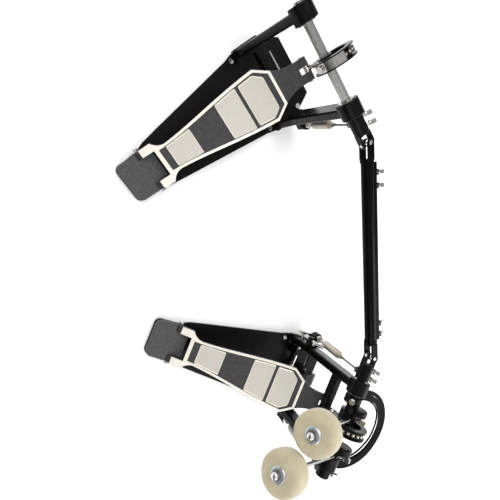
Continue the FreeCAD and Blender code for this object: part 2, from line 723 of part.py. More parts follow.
def shaft_tube():
    """Outer tube with a flat rail along its whole length, and the slave pedal's yoke."""
    start = JOINT_SLAVE + SHAFT_DIR * (YOKE_END - 1)
    end = JOINT_SLAVE + SHAFT_DIR * TUBE_END
    tube = rod(start, end, SHAFT_TUBE_R)
    low, high = V(0, 0, -5), V(0, 0, 5)
    near, far = shaft_side() * 4, shaft_side() * RAIL_OUT
    rail = prism([start + low + near, start + high + near, start + high + far, start + low + far], end - start)
    bore = rod(start + SHAFT_DIR * 12, end + SHAFT_DIR * 5, SHAFT_ROD_R + FIT)
    return shaft_yoke(JOINT_SLAVE, SHAFT_DIR).fuse([tube, rail]).cut(bore)


def shaft_rod():
    yoke = shaft_yoke(JOINT_MAIN, SHAFT_DIR * -1)
    start = JOINT_SLAVE + SHAFT_DIR * (YOKE_END + 14)
    bar = rod(start, JOINT_MAIN - SHAFT_DIR * (YOKE_HUB + 1), SHAFT_ROD_R)
    return yoke.fuse(bar)


def shaft_bolts():
    """Key bolts on the rail's outer face, two near each end of the tube."""
    bolts = []
    for s in (42, 61, TUBE_END - 24, TUBE_END - 6):
        bolts.append(key_bolt(JOINT_SLAVE + SHAFT_DIR * s + shaft_side() * RAIL_OUT, shaft_side()))
    return group(bolts)


# ------------------------------------------------ hoop clamp, drum key and strap
def clamp_bracket():
    cheeks = []
    for side in (-1, 1):
        x0, x1 = sorted((side * 13, side * 18))
        profile = [(278, PLATE_TOP), (304, PLATE_TOP), (299, 38), (295, 42), (288, 42), (284, 38)]
        cheeks.append(side_prism(x0, x1, profile))
    floor = box(-18, 18, 278, 304, PLATE_TOP, PLATE_TOP + 3)
    nut = box(-52, -40, SCREW_Y - 9, SCREW_Y + 9, PLATE_TOP, SCREW_Z + 9)
    tie = box(-52, -16, SCREW_Y + 4, SCREW_Y + 16, PLATE_TOP, PLATE_TOP + 4)
    whole = cheeks[0].fuse([cheeks[1], floor, nut, tie])
    pin = along_x(-30, 30, CLAMP_Y, CLAMP_Z, 3.0)
    thread = along_x(-60, -30, SCREW_Y, SCREW_Z, 4.0 + FIT)
    return whole.cut([pin, thread])


def clamp_pin():
    return along_x(-20, 20, CLAMP_Y, CLAMP_Z, 3.0)


def clamp_jaw():
    lever = side_prism(-12, 12, [(284, 30), (297, 27), (304, 25), (326, 25), (327, 29), (318, 35), (296, 43),
                                 (286, 43), (280, 38)])
    lever = rounded(lever, 2.0, lambda p, e: abs(p.x) < 1)
    tail = side_prism(-4.5, 4.5, [(286, 32), (286, 42), (262, 36), (261, 28.2), (270, 28.2)])
    return lever.fuse(tail).cut(along_x(-30, 30, CLAMP_Y, CLAMP_Z, 3.0 + FIT))


def clamp_pad():
    return box(-11, 11, 305, 325, HOOP_TOP, 25)


def clamp_screw():
    """Side-operated hand screw: wing, threaded shank and the cone that lifts the jaw's tail."""
    shank = along_x(-85, -17, SCREW_Y, SCREW_Z, 4.0)
    cone = Part.makeCone(7.4, 2.0, 14, V(-17, SCREW_Y, SCREW_Z), V(1, 0, 0))
    half = [(6, 6), (12, 4), (12, -4), (6, -6)]
    outline = half + [(-y, z) for y, z in reversed(half)]
    wing = side_prism(-88, -84, [(SCREW_Y + y, SCREW_Z + z) for y, z in outline])
    return shank.fuse([cone, wing])


def drum_key():
    """Tuning key that stands in the clip on the main pedal's inner post."""
    stem = rod(V(KEY_X, KEY_Y, 61), V(KEY_X, KEY_Y, 90), 3.0)
    barrel = rod(V(KEY_X, KEY_Y, 46), V(KEY_X, KEY_Y, 61.6), 5.0)
    socket = regular_bar(V(KEY_X, KEY_Y, 45), V(KEY_X, KEY_Y, 56), 5.5, 4)
    handle = rod(V(KEY_X, KEY_Y - 11, 90), V(KEY_X, KEY_Y + 11, 90), 3.6)
    return stem.fuse([barrel.cut(socket), handle])


STRAP_T = 5.0
STRAP_SLOPE = 8.0       # the strap's loop dips towards its front


def strap():
    """Flat carrying strap in a loop between the two bearing housings."""
    y0 = AXLE_Y + BEARING_R + 0.3
    outer = Part.Arc(V(-60, y0, 0), V(2, y0 + 82, 0), V(68, y0, 0)).toShape()
    inner = Part.Arc(V(52, y0, 0), V(4, y0 + 64, 0), V(-44, y0, 0)).toShape()
    right = Part.makeLine(V(68, y0, 0), V(52, y0, 0))
    left = Part.makeLine(V(-44, y0, 0), V(-60, y0, 0))
    face = Part.Face(Part.Wire([outer, right, inner, left]))
    band = face.extrude(V(0, 0, STRAP_T))
    band.translate(V(0, -y0, -STRAP_T / 2))
    band.rotate(V(0, 0, 0), V(1, 0, 0), -STRAP_SLOPE)
    band.translate(V(0, y0, AXLE_Z))
    return band


# ------------------------------------------------ assembly
def keep_pedal(prefix, slave):
    """The pieces that both pedals have."""
    keep(prefix + "_base_plate", base_plate(), slave)
    keep(prefix + "_heel_plate", heel_plate(), slave)
    pins = [hinge_pin()] if slave else [hinge_pin(), clamp_pin()]
    keep(prefix + "_hinge_pins", group(pins), slave)
    keep(prefix + "_rubber_feet", feet(), slave)
    keep(prefix + "_base_bolts", base_bolts(), slave)
    outer = bush(1) if slave else nearer(bush(1))
    keep(prefix + "_bearings", group([bush(-1), outer]), slave)
    keep(prefix + "_footboard", footboard(), slave)
    keep(prefix + "_footboard_rim", footboard_rim(), slave)
    keep(prefix + "_traction_pads", traction_pads(), slave)
    keep(prefix + "_toe_pin", toe_pin(), slave)
    keep(prefix + "_chain_run", chain_run(), slave)
    keep(prefix + "_chain_wrap", chain_wrap(SLAVE_WRAP if slave else MAIN_WRAP), slave)
    keep(prefix + "_cam", cam(), slave)


round_axle = on_axle(-200, 200, JOURNAL_R)
collar_space = on_axle(-200, 200, COUPLER_R)

keep_pedal("main", False)
keep("main_frame", main_frame())
keep("main_axle", main_axle())
keep("main_outer_collar", nearer(end_collar().fuse(rocker(collar_space))))
hex_space = hex_axle(-200, 200)
keep("right_beater_hub", beater_hub(RIGHT_BEATER, hex_space).fuse(hub_lobe(RIGHT_LOBE, hex_space)))
keep("main_axle_fittings", group([hub_bolt(RIGHT_BEATER), nearer(end_bolt())]))
keep("main_springs", group([nearer(spring()), flip(spring())]))
keep("main_spring_adjusters", group([nearer(spring_adjuster()), flip(spring_adjuster())]))

keep("aux_axle", aux_axle())
keep("aux_coupler", flip(coupler()))
keep("aux_rocker", flip(rocker(collar_space)))
keep("left_beater_hub", beater_hub(LEFT_BEATER, round_axle).fuse(hub_lobe(LEFT_LOBE, round_axle)))
keep("aux_axle_fittings", group([flip(b) for b in coupler_bolts()] + [hub_bolt(LEFT_BEATER), stop_screw()]))
keep("main_joint_cross", flip(cross()))

for side, beater in (("left", LEFT_BEATER), ("right", RIGHT_BEATER)):
    keep(side + "_beater_rod", beater_rod(beater))
    keep(side + "_beater_felt", beater_felt(beater))

keep("clamp_bracket", clamp_bracket())
keep("clamp_jaw", clamp_jaw())
keep("clamp_pad", clamp_pad())
keep("clamp_screw", clamp_screw())
keep("drum_key", drum_key())
keep("carry_strap", strap())

keep_pedal("slave", True)
keep("slave_frame", slave_frame(), True)
keep("slave_axle", slave_axle(), True)
keep("slave_coupler", coupler(), True)
keep("slave_rocker", rocker(collar_space), True)
keep("slave_axle_fittings", group([cam_band()] + coupler_bolts()), True)
keep("slave_spring", spring(), True)
keep("slave_spring_adjuster", spring_adjuster(), True)
keep("slave_joint_cross", cross(), True)

keep("shaft_tube", shaft_tube())
keep("shaft_rod", shaft_rod())
keep("shaft_bolts", shaft_bolts())

# The origin is on the floor, under the middle of the whole pedal's box.
whole = Part.makeCompound(list(parts.values())).BoundBox
ORIGIN = V((whole.XMin + whole.XMax) / 2, (whole.YMin + whole.YMax) / 2, 0)

os.makedirs("parts", exist_ok=True)
for name, shape in parts.items():
    shape.translate(ORIGIN * -1)
    shape.exportStep("parts/" + name + ".step")
print(len(parts), "nodes; box", [round(v, 1) for v in (whole.XLength, whole.YLength, whole.ZLength)])
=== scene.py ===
import json
import math

import bmesh
import bpy
from mathutils import Matrix, Vector, noise


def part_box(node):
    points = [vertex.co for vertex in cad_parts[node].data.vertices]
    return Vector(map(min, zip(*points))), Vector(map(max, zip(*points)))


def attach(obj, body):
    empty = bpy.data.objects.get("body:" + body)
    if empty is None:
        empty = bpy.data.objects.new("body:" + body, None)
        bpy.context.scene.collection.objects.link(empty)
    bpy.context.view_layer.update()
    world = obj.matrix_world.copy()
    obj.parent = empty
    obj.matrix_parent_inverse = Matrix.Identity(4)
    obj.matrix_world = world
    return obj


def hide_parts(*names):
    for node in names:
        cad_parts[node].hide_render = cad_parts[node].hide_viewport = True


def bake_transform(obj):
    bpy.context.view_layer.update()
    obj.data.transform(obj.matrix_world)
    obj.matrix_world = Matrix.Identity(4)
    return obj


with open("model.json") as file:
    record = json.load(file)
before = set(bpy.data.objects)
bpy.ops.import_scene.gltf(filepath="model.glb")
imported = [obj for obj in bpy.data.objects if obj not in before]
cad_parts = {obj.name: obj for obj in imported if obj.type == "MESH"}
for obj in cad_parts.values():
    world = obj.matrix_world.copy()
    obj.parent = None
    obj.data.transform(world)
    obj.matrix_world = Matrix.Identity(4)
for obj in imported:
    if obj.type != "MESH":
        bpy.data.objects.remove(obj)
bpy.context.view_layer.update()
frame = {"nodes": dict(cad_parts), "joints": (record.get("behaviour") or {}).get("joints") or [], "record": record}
MM = 0.001
UP = Vector((0, 0, 1))


# ------------------------------------------------ places, all from the frame
def joint(name):
    return next(j for j in frame["joints"] if j["name"] == name)


def middle(node):
    low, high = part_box(node)
    return (Vector(low) + Vector(high)) / 2


def pedal_place(joint_name):
    """A pedal's own frame: X along its axle, Y towards the toe, Z up, from the middle of its axle."""
    turn = joint(joint_name)
    across = -Vector(turn["axis"]).normalized()
    ahead = UP.cross(across)
    place = Matrix((across, ahead, UP)).transposed().to_4x4()
    place.translation = Vector(turn["pos_m"])
    return place


MAIN = pedal_place("right_beater_swing")
SLAVE = pedal_place("slave_axle_turn")
AXLE = MAIN.translation


def from_axle(point):
    """A point of the main pedal, in its own frame."""
    return MAIN.inverted() @ Vector(point)


# ------------------------------------------------ materials
def new_material(name, color, roughness, metallic):
    material = bpy.data.materials.new(name)
    material.use_nodes = True
    tree = material.node_tree
    shader = tree.nodes["Principled BSDF"]
    shader.inputs["Base Color"].default_value = (*color, 1)
    shader.inputs["Roughness"].default_value = roughness
    shader.inputs["Metallic"].default_value = metallic
    return material, tree, shader


def noise_node(tree, scale, detail=4.0, stretch=None):
    where = tree.nodes.new("ShaderNodeTexCoord")
    texture = tree.nodes.new("ShaderNodeTexNoise")
    texture.inputs["Scale"].default_value = scale
    texture.inputs["Detail"].default_value = detail
    if stretch:
        mapping = tree.nodes.new("ShaderNodeMapping")
        mapping.inputs["Scale"].default_value = stretch
        tree.links.new(where.outputs["Object"], mapping.inputs["Vector"])
        tree.links.new(mapping.outputs["Vector"], texture.inputs["Vector"])
    else:
        tree.links.new(where.outputs["Object"], texture.inputs["Vector"])
    return texture.outputs["Fac"]


def spread(tree, value, low, high, out_low, out_high):
    """Maps the part of a value between low and high to a new range."""
    node = tree.nodes.new("ShaderNodeMapRange")
    node.inputs["From Min"].default_value = low
    node.inputs["From Max"].default_value = high
    node.inputs["To Min"].default_value = out_low
    node.inputs["To Max"].default_value = out_high
    tree.links.new(value, node.inputs["Value"])
    return node.outputs["Result"]


def mix_color(tree, share, first, second):
    node = tree.nodes.new("ShaderNodeMix")
    node.data_type = "RGBA"
    tree.links.new(share, node.inputs["Factor"])
    for socket, color in ((node.inputs["A"], first), (node.inputs["B"], second)):
        if isinstance(color, tuple):
            socket.default_value = (*color, 1)
        else:
            tree.links.new(color, socket)
    return node.outputs["Result"]


def edge_share(tree, radius):
    """1 on edges and corners, 0 on flats: how far a rounded normal leans from the true one."""
    bevel = tree.nodes.new("ShaderNodeBevel")
    bevel.samples = 4
    bevel.inputs["Radius"].default_value = radius
    geometry = tree.nodes.new("ShaderNodeNewGeometry")
    dot = tree.nodes.new("ShaderNodeVectorMath")
    dot.operation = "DOT_PRODUCT"
    tree.links.new(bevel.outputs["Normal"], dot.inputs[0])
    tree.links.new(geometry.outputs["Normal"], dot.inputs[1])
    return bevel.outputs["Normal"], spread(tree, dot.outputs["Value"], 1.0, 0.8, 0.0, 1.0)


def finish(name, color, roughness, metallic=0.0, mottle=0.2, mottle_scale=180.0, rough_swing=0.06,
           grain=0.1, grain_scale=1800.0, edge_radius=0.5 * MM, edge_wear_and_shade_color=None, edge_wear_and_shade_share=0.5, coat=0.0,
           stretch=None, specular=0.5):
    """Painted, plated or moulded surface: mottled, unevenly glossy, finely grained, with an edge colour: wear on
    dark paint, painted shade on bright metal.
    """
    material, tree, shader = new_material(name, color, roughness, metallic)
    clouds = noise_node(tree, mottle_scale, 5.0, stretch)
    dark = tuple(c * (1 - mottle) for c in color)
    light = tuple(min(1.0, c * (1 + mottle)) for c in color)
    base = mix_color(tree, spread(tree, clouds, 0.3, 0.7, 0.0, 1.0), dark, light)
    soft, edges = edge_share(tree, edge_radius)
    # edge colour on the rounded edges, broken into patches by noise: lighter on the black and grey paints as wear,
    # bright on the chain plates, and darker on bright_steel, bearing_steel, key_chrome and board_grey as painted
    # shade
    if edge_wear_and_shade_color:
        edge_patches = spread(tree, noise_node(tree, 900.0, 3.0), 0.35, 0.65, edge_wear_and_shade_share * 0.4, edge_wear_and_shade_share)
        wear_and_shade_mask = tree.nodes.new("ShaderNodeMath")
        wear_and_shade_mask.operation = "MULTIPLY"
        tree.links.new(edges, wear_and_shade_mask.inputs[0])
        tree.links.new(edge_patches, wear_and_shade_mask.inputs[1])
        base = mix_color(tree, wear_and_shade_mask.outputs["Value"], base, edge_wear_and_shade_color)
    tree.links.new(base, shader.inputs["Base Color"])
    gloss = spread(tree, noise_node(tree, mottle_scale * 0.6, 3.0), 0.3, 0.7,
                   max(0.02, roughness - rough_swing), roughness + rough_swing)
    tree.links.new(gloss, shader.inputs["Roughness"])
    bump = tree.nodes.new("ShaderNodeBump")
    bump.inputs["Strength"].default_value = grain
    bump.inputs["Distance"].default_value = 0.1 * MM
    tree.links.new(noise_node(tree, grain_scale, 2.0, stretch), bump.inputs["Height"])
    tree.links.new(soft, bump.inputs["Normal"])
    tree.links.new(bump.outputs["Normal"], shader.inputs["Normal"])
    shader.inputs["Specular IOR Level"].default_value = specular
    shader.inputs["Coat Weight"].default_value = coat
    shader.inputs["Coat Roughness"].default_value = 0.08
    return material


def felt_finish():
    """Pressed wool: cream with fine fibres, painted shade darkening its hollows, and a soft sheen."""
    material, tree, shader = new_material("felt", (0.42, 0.37, 0.25), 0.92, 0.0)
    clouds = spread(tree, noise_node(tree, 60.0, 6.0), 0.3, 0.7, 0.0, 1.0)
    base = mix_color(tree, clouds, (0.405, 0.355, 0.235), (0.465, 0.415, 0.285))
    fibres = noise_node(tree, 1500.0, 8.0, (1.0, 1.0, 0.35))
    # painted shade: the fibre pattern that also drives the bump is darkened in places, as shade in the wool's
    # hollows
    fibre_shade = spread(tree, fibres, 0.60, 0.78, 0.0, 0.3)
    base = mix_color(tree, fibre_shade, base, (0.31, 0.27, 0.175))
    tree.links.new(base, shader.inputs["Base Color"])
    bump = tree.nodes.new("ShaderNodeBump")
    bump.inputs["Strength"].default_value = 0.55
    bump.inputs["Distance"].default_value = 0.25 * MM
    tree.links.new(fibres, bump.inputs["Height"])
    tree.links.new(bump.outputs["Normal"], shader.inputs["Normal"])
    shader.inputs["Sheen Weight"].default_value = 0.35
    shader.inputs["Sheen Roughness"].default_value = 0.5
    return material


BLACK = (0.0022, 0.0022, 0.0024)
EDGE = (0.07, 0.07, 0.07)
FINISHES = {
    "base_black": dict(color=(0.003, 0.003, 0.0033), roughness=0.32, grain=0.12, edge_wear_and_shade_color=EDGE,
                       specular=0.10),
    "heel_grey": dict(color=(0.052, 0.052, 0.054), roughness=0.48, grain=0.35, grain_scale=1300.0,
                      edge_wear_and_shade_color=(0.13, 0.13, 0.13), edge_radius=0.8 * MM, specular=0.22),
    "cast_black": dict(color=BLACK, roughness=0.27, grain=0.2, grain_scale=1500.0,
                       edge_wear_and_shade_color=EDGE, edge_radius=0.7 * MM, specular=0.11),
    # painted shade: the board's edges are coloured darker than its face
    "board_grey": dict(color=(0.042, 0.042, 0.044), roughness=0.45, grain=0.25, grain_scale=1500.0,
                       edge_wear_and_shade_color=(0.012, 0.012, 0.012), specular=0.2),
    "rim_bright": dict(color=(0.85, 0.80, 0.72), roughness=0.34, metallic=0.5, mottle=0.05, grain=0.1,
                       edge_radius=0.3 * MM),
    "tread_bright": dict(color=(0.51, 0.48, 0.43), roughness=0.44, metallic=0.35, mottle=0.09,
                         mottle_scale=700.0, grain=0.5, grain_scale=1100.0, edge_radius=0.6 * MM),
    # painted shade: a dark edge colour on the bright steel
    "bright_steel": dict(color=(0.60, 0.59, 0.57), roughness=0.13, metallic=1.0, mottle=0.06, grain=0.03,
                         edge_radius=0.5 * MM, edge_wear_and_shade_color=(0.08, 0.08, 0.08), edge_wear_and_shade_share=1.0),
    # painted shade: a dark edge colour that stands in for the round shading of the axle
    "bearing_steel": dict(color=(0.34, 0.34, 0.335), roughness=0.24, metallic=1.0, mottle=0.08, grain=0.1,
                          edge_radius=0.8 * MM, edge_wear_and_shade_color=(0.03, 0.03, 0.03), edge_wear_and_shade_share=1.0),
    "polished": dict(color=(0.66, 0.65, 0.63), roughness=0.1, metallic=1.0, mottle=0.08, grain=0.03),
    "chain_steel": dict(color=(0.60, 0.54, 0.46), roughness=0.22, metallic=1.0, mottle=0.15, grain=0.1,
                        edge_radius=0.2 * MM),
    "spring_steel": dict(color=(0.60, 0.545, 0.475), roughness=0.4, metallic=0.75, mottle=0.1, grain=0.1,
                         edge_radius=0.1 * MM),
    "hook_steel": dict(color=(0.20, 0.185, 0.17), roughness=0.2, metallic=1.0, mottle=0.15, grain=0.1,
                       edge_radius=0.1 * MM),
    "shaft_black": dict(color=(0.0012, 0.0012, 0.0014), roughness=0.16, grain=0.05, coat=0.02,
                        edge_wear_and_shade_color=EDGE, edge_radius=0.5 * MM, specular=0.06),
    "rubber_black": dict(color=(0.012, 0.012, 0.012), roughness=0.75, grain=0.5, grain_scale=1200.0,
                         specular=0.3),
    "strap_black": dict(color=(0.0022, 0.0022, 0.0022), roughness=0.3, grain=0.4, grain_scale=700.0,
                        stretch=(0.25, 0.25, 1.0), edge_radius=0.2 * MM, specular=0.05),
    "zinc": dict(color=(0.44, 0.455, 0.47), roughness=0.36, metallic=0.8, mottle=0.12, mottle_scale=600.0,
                 grain=0.2, edge_radius=0.3 * MM),
    "gunmetal": dict(color=(0.035, 0.033, 0.031), roughness=0.26, metallic=0.8, mottle=0.2, grain=0.2,
                     edge_wear_and_shade_color=(0.45, 0.42, 0.38), edge_radius=0.3 * MM, edge_wear_and_shade_share=0.8),
    "dark_chrome": dict(color=(0.30, 0.29, 0.28), roughness=0.14, metallic=1.0, mottle=0.08, grain=0.03,
                        edge_radius=0.3 * MM),
    # painted shade: a dark edge colour on the chrome fittings
    "key_chrome": dict(color=(0.42, 0.41, 0.40), roughness=0.1, metallic=1.0, mottle=0.08, grain=0.03,
                       edge_radius=0.6 * MM, edge_wear_and_shade_color=(0.02, 0.02, 0.02), edge_wear_and_shade_share=1.0),
}
MATERIALS = {name: finish(name, **values) for name, values in FINISHES.items()}
MATERIALS["felt_cream"] = felt_finish()
# nodes whose finish is darker than others of their slot
SPECIAL = {"left_beater_rod": "dark_chrome", "right_beater_rod": "dark_chrome", "slave_axle": "bearing_steel",
           "main_axle_fittings": "key_chrome", "aux_axle_fittings": "key_chrome",
           "slave_axle_fittings": "key_chrome", "shaft_bolts": "key_chrome"}


def cad_materials():
    for part in frame["record"]["subparts"]:
        node = frame["nodes"].get(part["node"])
        if node is None:
            continue
        wanted = MATERIALS[SPECIAL.get(part["node"], part["material_slot"])]
        node.data.materials.clear()
        node.data.materials.append(wanted)


# ------------------------------------------------ mesh helpers
class Build:
    """Collects the vertices and faces of one piece."""

    def __init__(self):
        self.points = []
        self.faces = []

    def ring_strip(self, rings, closed_ring=True, cap=False):
        """Joins rings of equal length into a skin; cap closes both ends."""
        size = len(rings[0])
        first = len(self.points)
        for ring in rings:
            self.points += [Vector(p) for p in ring]
        span = size if closed_ring else size - 1
        for i in range(len(rings) - 1):
            for j in range(span):
                a = first + i * size + j
                b = first + i * size + (j + 1) % size
                self.faces.append((a, b, b + size, a + size))
        if cap:
            last = first + (len(rings) - 1) * size
            self.faces.append(tuple(reversed(range(first, first + size))))
            self.faces.append(tuple(range(last, last + size)))

    def slab(self, outline, thickness_vector):
        """A flat outline drawn out along a vector."""
        rings = [outline, [Vector(p) + thickness_vector for p in outline]]
        self.ring_strip(rings, cap=True)

    def lathe(self, profile, centre, direction, segments=48):
        """Turns (radius, height) pairs about a line."""
        d = Vector(direction).normalized()
        side = d.orthogonal().normalized()
        other = d.cross(side)
        rings = []
        for radius, height in profile:
            ring = []
            for k in range(segments):
                a = 2 * math.pi * k / segments
                ring.append(centre + d * height + (side * math.cos(a) + other * math.sin(a)) * radius)
            rings.append(ring)
        self.ring_strip(rings, cap=True)

    def tube(self, path, radius, sides=12):
        """A round wire along a path; radius may be a function of the share along it."""
        rings = []
        side = None
        for i, p in enumerate(path):
            ahead = path[min(i + 1, len(path) - 1)] - path[max(i - 1, 0)]
            ahead.normalize()
            if side is None:
                side = ahead.orthogonal().normalized()
            side = (side - ahead * side.dot(ahead)).normalized()
            other = ahead.cross(side)
            r = radius(i / (len(path) - 1)) if callable(radius) else radius
            ring = []
            for k in range(sides):
                a = 2 * math.pi * k / sides
                ring.append(p + (side * math.cos(a) + other * math.sin(a)) * r)
            rings.append(ring)
        self.ring_strip(rings, cap=True)

    def piece(self, name, material, slot, smooth=True):
        mesh = bpy.data.meshes.new(name)
        mesh.from_pydata([tuple(p) for p in self.points], [], self.faces)
        work = bmesh.new()
        work.from_mesh(mesh)
        bmesh.ops.recalc_face_normals(work, faces=work.faces)
        work.to_mesh(mesh)
        work.free()
        mesh.materials.append(MATERIALS[material])
        obj = bpy.data.objects.new(name, mesh)
        bpy.context.scene.collection.objects.link(obj)
        if smooth:
            mesh.shade_smooth()
            mesh.set_sharp_from_angle(angle=math.radians(35))
        return obj


def moved(points, place):
    return [place @ Vector(p) for p in points]


# ------------------------------------------------ beaters
FELT_T = 31 * MM
FELT_RIM = 8 * MM          # rounding between a felt's face and its side
FELT_SKIN = 0.4 * MM       # the plain felt lies this far inside the CAD solid
FELT_SWELL = 0.35 * MM     # how far the side bulges, and how uneven the wool is
FELT_LUMPS = 160           # noise scale of the unevenness
FELT_BORE = 4 * MM
CUP_R = 11.2 * MM
CUP_BORE = 4.1 * MM


def felt_profile(radius, thickness, rim, crown):
    """Half section of a felt: two flat faces, soft rims and a barrel-shaped side."""
    half = thickness / 2
    flat = radius - rim - FELT_BORE
    profile = [(FELT_BORE, -half)]
    for step in range(4):
        profile.append((FELT_BORE + flat * (step + 1) / 4, -half))
    for step in range(1, 9):
        a = math.pi / 2 * step / 8
        profile.append((radius - rim + rim * math.sin(a), -half + rim - rim * math.cos(a)))
    for step in range(1, 5):
        t = step / 5
        profile.append((radius + crown * math.sin(math.pi * t), -half + rim + (thickness - 2 * rim) * t))
    for step in range(9):
        a = math.pi / 2 * step / 8
        profile.append((radius - rim + rim * math.cos(a), half - rim + rim * math.sin(a)))
    for step in range(1, 5):
        profile.append((radius - rim - flat * step / 4, half))
    return profile


def beater(side):
    """A felt head with its cup washer, and the domed end of the rod in front of it."""
    centre = middle(side + "_beater_felt")
    out = Vector(joint(side + "_beater_height")["axis"]).normalized()
    low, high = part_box(side + "_beater_felt")
    radius = (high[0] - low[0]) / 2 - FELT_SKIN
    felt = Build()
    felt.lathe(felt_profile(radius, FELT_T, FELT_RIM, FELT_SWELL), centre, out, 96)
    felt.points = [p + (p - centre).normalized() * FELT_SWELL * noise.noise(p * FELT_LUMPS)
                   for p in felt.points]
    obj = felt.piece(side + "_felt_head", "felt_cream", "felt_cream")
    smoothing = obj.modifiers.new("round", "SUBSURF")
    smoothing.levels = smoothing.render_levels = 1
    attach(obj, side + "_beater")
    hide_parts(side + "_beater_felt")

    face = centre + out * FELT_T / 2
    cup = Build()
    cup.lathe([(CUP_BORE, 0.2 * MM), (CUP_R - 1.2 * MM, -0.2 * MM), (CUP_R, 0.2 * MM), (CUP_R, 0.9 * MM),
               (CUP_R - 0.8 * MM, 1.6 * MM), (CUP_R - 2.6 * MM, 2.3 * MM), (6.4 * MM, 2.4 * MM),
               (6.0 * MM, 2.2 * MM), (CUP_BORE, 2.2 * MM)], face, out)
    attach(cup.piece(side + "_cup_washer", "zinc", "bright_steel"), side + "_beater")

    tip = Build()
    tip.lathe([(0.5 * MM, 7.0 * MM), (4.6 * MM, 7.0 * MM), (5.0 * MM, 7.5 * MM), (4.8 * MM, 8.6 * MM),
               (4.0 * MM, 9.7 * MM), (2.0 * MM, 10.6 * MM), (0.5 * MM, 10.8 * MM)], face, out, 32)
    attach(tip.piece(side + "_rod_dome", "polished", "bright_steel"), side + "_beater")


# ------------------------------------------------ chains
PITCH = 8 * MM
FLANGE = 4 * MM            # the cam's flanges stand this far over the line of the pins
LINK_WIDTH = 6 * MM
PLATE_T = 0.7 * MM
PLATE_R = 2.9 * MM
PLATE_WAIST = 0.66         # a plate's half width at its middle, as a share of PLATE_R
PLATE_GAP = 0.1 * MM
ROLLER_R = 2.3 * MM


def plate_outline(a, b, radius):
    """Figure-of-eight link plate between two pins."""
    ahead = (b - a).normalized()
    up = Vector((1, 0, 0)).cross(ahead)
    length = (b - a).length
    outline = []
    for k in range(9):
        t = math.radians(-65 + 130 * k / 8)
        outline.append(b + (ahead * math.cos(t) + up * math.sin(t)) * radius)
    outline.append(a + ahead * length / 2 + up * radius * PLATE_WAIST)
    for k in range(9):
        t = math.radians(115 + 130 * k / 8)
        outline.append(a + (ahead * math.cos(t) + up * math.sin(t)) * radius)
    outline.append(a + ahead * length / 2 - up * radius * PLATE_WAIST)
    return outline


def chain_links(pins, place):
    """Side plates, rollers and pin heads along a line of pins, in a pedal's own frame."""
    plates = Build()
    rollers = Build()
    half = LINK_WIDTH / 2
    inside = half - 2 * PLATE_T - PLATE_GAP
    for i in range(len(pins) - 1):
        a, b = pins[i], pins[i + 1]
        outer = half - PLATE_T if i % 2 == 0 else inside
        for sign in (-1, 1):
            start = Vector((sign * outer, 0, 0))
            outline = [p + start for p in plate_outline(a, b, PLATE_R)]
            plates.slab(moved(outline, place), place.to_3x3() @ Vector((sign * PLATE_T, 0, 0)))
    for pin in pins:
        across = place.to_3x3() @ Vector((1, 0, 0))
        at = place @ pin
        rollers.lathe([(ROLLER_R, -inside), (ROLLER_R, inside)], at, across, 20)
        for sign in (-1, 1):
            rollers.lathe([(1.25 * MM, half - 0.1 * MM), (1.25 * MM, half + 0.25 * MM),
                           (0.8 * MM, half + 0.5 * MM)], at, across * sign, 14)
    return plates, rollers


def chain(pedal, place, axle, links_on_cam):
    """One pedal's chain: the straight fall to the toe pin, and the links that lie on the cam."""
    toe = from_axle(middle("main_toe_pin"))
    wheel = from_axle(middle("main_cam"))
    low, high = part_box("main_cam")
    chain_r = (high[2] - low[2]) / 2 - FLANGE
    ahead, below = toe.y - wheel.y, toe.z - wheel.z
    leave = math.atan2(below, ahead) + math.acos(chain_r / math.hypot(ahead, below))
    step = PITCH / chain_r
    on_wheel = []
    for k in range(links_on_cam + 1):
        a = leave + step * k
        on_wheel.append(wheel + Vector((0, math.cos(a), math.sin(a))) * chain_r)
    for pin in on_wheel:
        pin.x = 0
    toe.x = 0
    run = on_wheel[0] - toe
    count = round(run.length / PITCH)
    falling = [toe + run * k / count for k in range(count + 1)]
    for part, pins in (("run", falling), ("wrap", on_wheel)):
        plates, rollers = chain_links(pins, place)
        one = plates.piece(f"{pedal}_chain_{part}_plates", "gunmetal", "chain_steel")
        two = rollers.piece(f"{pedal}_chain_{part}_rollers", "chain_steel", "chain_steel")
        for obj in (one, two):
            if part == "run":
                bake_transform(obj)
            else:
                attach(obj, axle)
        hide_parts(f"{pedal}_chain_{part}")


# ------------------------------------------------ springs
WIRE_R = 0.95 * MM
COIL_R = 6.0 * MM
HOOK_R = 3.6 * MM
HOOK_WIRE_R = 1.7 * MM
COIL_START = 8 * MM        # the coil, from the middle of its lower eye
COIL_END = 72 * MM
LOW_EYE_IN = 5.1 * MM      # the eyes' middles, inside the CAD springs' box
HIGH_EYE_IN = 4.6 * MM
SPRING_SIDE = 6 * MM       # a spring's middle, inside the outer side of that box


def loop(centre, first, second, radius, start, turn, steps=18):
    """Part of a circle about centre, in the plane of first and second; angles in degrees."""
    points = []
    for k in range(steps + 1):
        t = math.radians(start + turn * k / steps)
        points.append(centre + (first * math.cos(t) + second * math.sin(t)) * radius)
    return points


